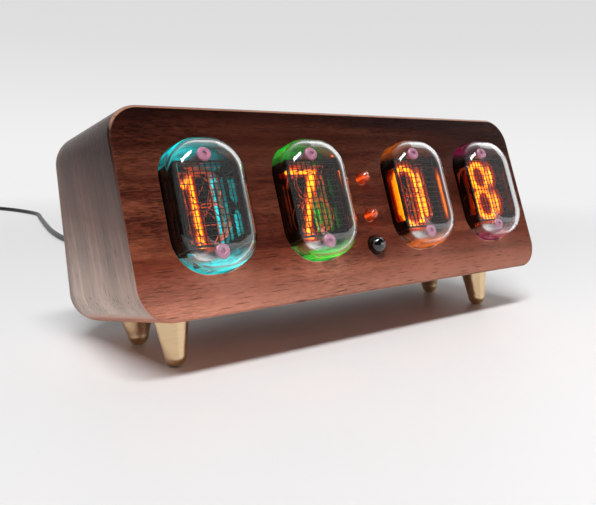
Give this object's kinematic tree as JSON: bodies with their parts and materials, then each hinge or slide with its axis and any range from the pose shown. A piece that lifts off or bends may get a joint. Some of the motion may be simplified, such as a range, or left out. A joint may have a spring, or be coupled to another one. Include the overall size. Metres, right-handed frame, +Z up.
{
  "type": "nixie tube clock",
  "caption": "Desk clock with flat-fronted glow-discharge number tubes behind glass in a sloping walnut case, neon colon lamps, tapered brass legs, push buttons and a coiled power cord.",
  "frame": {"origin": "on the floor under the middle of the clock, without its cord", "axes": "+X to the clock's right seen from the front, +Y from the face to the back, +Z up"},
  "size_m": [0.14, 0.4836, 0.061],
  "materials": {
    "walnut": "satin oiled",
    "black_plastic": "fine grained",
    "black_steel": "black oxide",
    "brass": "satin",
    "tube_glass": "clear",
    "tube_metal": "dull",
    "cathode_wire": "etched",
    "pink_ceramic": "matt",
    "tinned_metal": "bright",
    "led_body": "moulded",
    "lamp_glass": "clear",
    "lamp_metal": "drawn",
    "black_epoxy": "smooth",
    "circuit_board": "solder mask",
    "ferrite": "dull",
    "capacitor_sleeve": "sleeved",
    "button_plastic": "smooth",
    "cord_jacket": "satin"
  },
  "bodies": {
    "clock": {"case": "walnut", "back_cover": "black_plastic", "cover_screws": "black_steel", "front_left_leg": "brass", "front_right_leg": "brass", "back_left_leg": "brass", "back_right_leg": "brass", "leg_inserts": "brass", "tube_1_glass": "tube_glass", "tube_2_glass": "tube_glass", "tube_3_glass": "tube_glass", "tube_4_glass": "tube_glass", "tube_1_base": "tube_glass", "tube_2_base": "tube_glass", "tube_3_base": "tube_glass", "tube_4_base": "tube_glass", "tube_1_anode": "tube_metal", "tube_2_anode": "tube_metal", "tube_3_anode": "tube_metal", "tube_4_anode": "tube_metal", "tube_1_cathodes": "cathode_wire", "tube_2_cathodes": "cathode_wire", "tube_3_cathodes": "cathode_wire", "tube_4_cathodes": "cathode_wire", "tube_1_spacers": "pink_ceramic", "tube_2_spacers": "pink_ceramic", "tube_3_spacers": "pink_ceramic", "tube_4_spacers": "pink_ceramic", "tube_pins": "tinned_metal", "socket_1": "black_plastic", "socket_2": "black_plastic", "socket_3": "black_plastic", "socket_4": "black_plastic", "backlight_leds": "led_body", "upper_lamp_glass": "lamp_glass", "lower_lamp_glass": "lamp_glass", "lamp_electrodes": "lamp_metal", "light_sensor": "black_epoxy", "sensor_leads": "tinned_metal", "display_board": "circuit_board", "board_standoffs": "brass", "board_screws": "tinned_metal", "driver_chips": "black_epoxy", "control_board": "circuit_board", "board_pillars": "brass", "link_header": "black_plastic", "boost_inductor": "ferrite", "boost_capacitor": "capacitor_sleeve", "controller_chip": "black_epoxy", "clock_battery": "tinned_metal", "battery_holder": "black_plastic", "power_jack": "black_plastic", "switch_bodies": "black_plastic", "cord_plug": "cord_jacket", "power_cord": "cord_jacket", "cord_coil": "cord_jacket", "usb_plug": "cord_jacket"},
    "hours_button_body": {"hours_button": "button_plastic"},
    "minutes_button_body": {"minutes_button": "button_plastic"},
    "mode_button_body": {"mode_button": "button_plastic"}
  },
  "joints": [
    {"name": "hours_press", "type": "slide", "parent": "clock", "child": "hours_button_body", "axis": [0, -0.9781, 0.2079], "range_m": [0, 0.0005], "stiffness_N_per_m": 300, "springref_m": -0.001},
    {"name": "minutes_press", "type": "slide", "parent": "clock", "child": "minutes_button_body", "axis": [0, -0.9781, 0.2079], "range_m": [0, 0.0005], "stiffness_N_per_m": 300, "springref_m": -0.001},
    {"name": "mode_press", "type": "slide", "parent": "clock", "child": "mode_button_body", "axis": [0, -0.9781, 0.2079], "range_m": [0, 0.0005], "stiffness_N_per_m": 300, "springref_m": -0.001}
  ]
}
